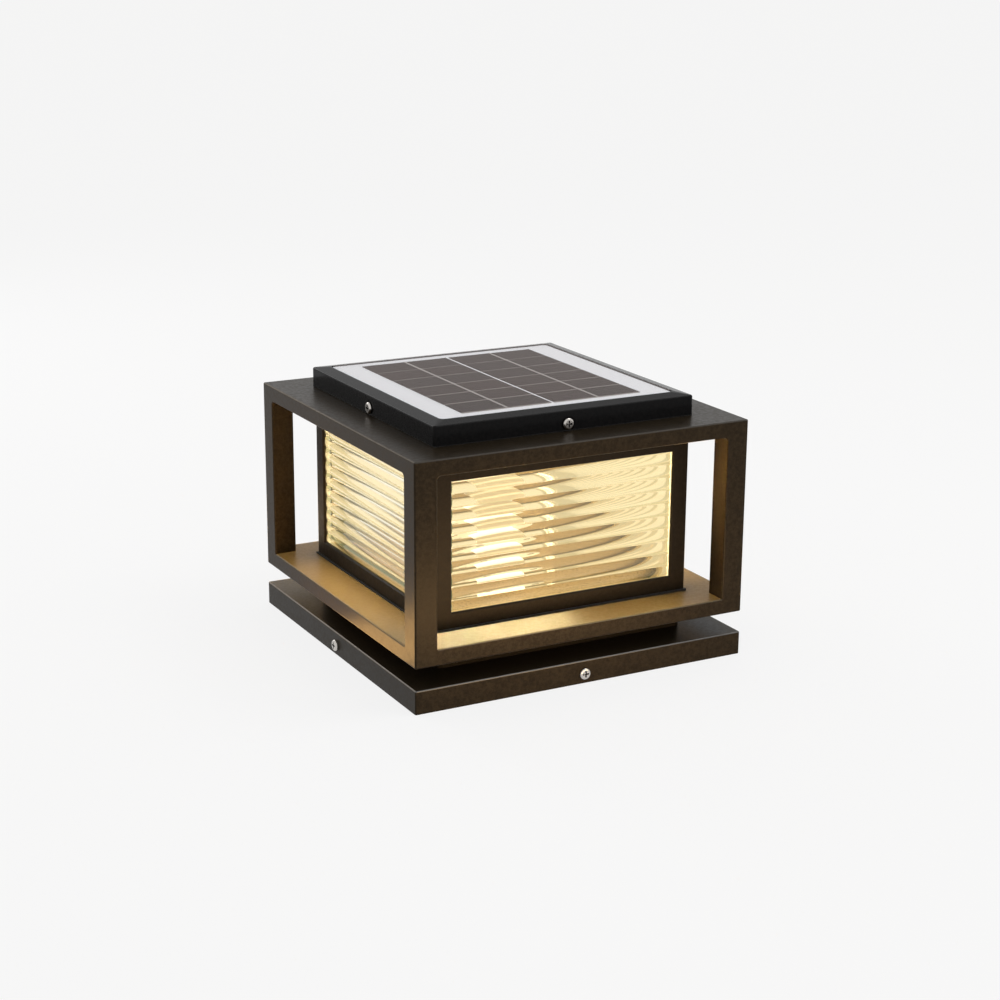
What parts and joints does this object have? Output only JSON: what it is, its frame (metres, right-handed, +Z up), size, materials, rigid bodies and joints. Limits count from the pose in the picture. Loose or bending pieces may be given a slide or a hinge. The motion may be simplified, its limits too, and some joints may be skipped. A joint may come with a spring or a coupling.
{
  "type": "solar pillar light",
  "caption": "Square solar pillar-top lantern: ribbed-glass lamp in an open bronze cage, solar panel cap, neck and screw-on base, with a push-button switch.",
  "frame": {"origin": "middle of the underside, on the surface that the lamp stands on", "axes": "+Z up; -Y is the front, opposite the power button; +X is to the right of the front"},
  "size_m": [0.2548, 0.2548, 0.1835],
  "materials": {
    "bronze_coat": "satin",
    "cap_coat": "satin",
    "lamp_coat": "satin",
    "stainless": "polished",
    "zinc_steel": "satin",
    "seal_rubber": "matte",
    "ribbed_glass": "polished",
    "opal_diffuser": "gloss",
    "white_reflector": "gloss",
    "gold_reflector": "satin",
    "bare_aluminium": "satin",
    "led_board": "satin",
    "led_phosphor": "satin",
    "controller_pcb": "satin",
    "battery_can": "gloss",
    "black_plastic": "matte",
    "wire_sleeve": "satin",
    "panel_white": "satin",
    "solar_silicon": "gloss",
    "solder_ribbon": "satin",
    "panel_clear": "gloss",
    "button_rubber": "satin"
  },
  "bodies": {
    "lamp": {"mounting_bracket": "zinc_steel", "base_cover": "bronze_coat", "base_screws": "stainless", "neck": "lamp_coat", "neck_bolts": "zinc_steel", "neck_nuts": "zinc_steel", "cage_base": "bronze_coat", "top_frame": "bronze_coat", "tie_bolts": "zinc_steel", "lamp_housing": "lamp_coat", "foot_gasket": "seal_rubber", "head_gasket": "seal_rubber", "ceiling_plate": "white_reflector", "ceiling_screws": "stainless", "floor_reflector": "gold_reflector", "led_base": "white_reflector", "led_base_screws": "stainless", "led_post": "bare_aluminium", "led_boards": "led_board", "led_chips": "led_phosphor", "diffuser_tube": "opal_diffuser", "wiring_loom": "wire_sleeve", "controller_board": "controller_pcb", "board_standoffs": "black_plastic", "board_screws": "stainless", "panel_lead": "wire_sleeve", "battery_holder": "black_plastic", "battery_cells": "battery_can", "cap_bracket": "bare_aluminium", "bracket_screws": "stainless", "cap_gasket": "seal_rubber", "solar_cap": "cap_coat", "cap_screws": "stainless", "panel_pad": "black_plastic", "panel_backing": "panel_white", "solar_cells": "solar_silicon", "cell_ribbons": "solder_ribbon", "panel_cover": "panel_clear", "switch_body": "black_plastic", "switch_washer": "seal_rubber", "switch_nut": "zinc_steel", "corner_post_front_left": "bronze_coat", "pane_retainer_front_left": "white_reflector", "corner_post_front_right": "bronze_coat", "pane_retainer_front_right": "white_reflector", "corner_post_back_left": "bronze_coat", "pane_retainer_back_left": "white_reflector", "corner_post_back_right": "bronze_coat", "pane_retainer_back_right": "white_reflector", "pane_front": "ribbed_glass", "pane_seal_front": "seal_rubber", "pane_right": "ribbed_glass", "pane_seal_right": "seal_rubber", "pane_back": "ribbed_glass", "pane_seal_back": "seal_rubber", "pane_left": "ribbed_glass", "pane_seal_left": "seal_rubber"},
    "button": {"power_button": "button_rubber"}
  },
  "joints": [
    {"name": "button_press", "type": "slide", "parent": "lamp", "child": "button", "axis": [0, -1, 0], "range_m": [0, 0.002], "stiffness_N_per_m": 900}
  ]
}
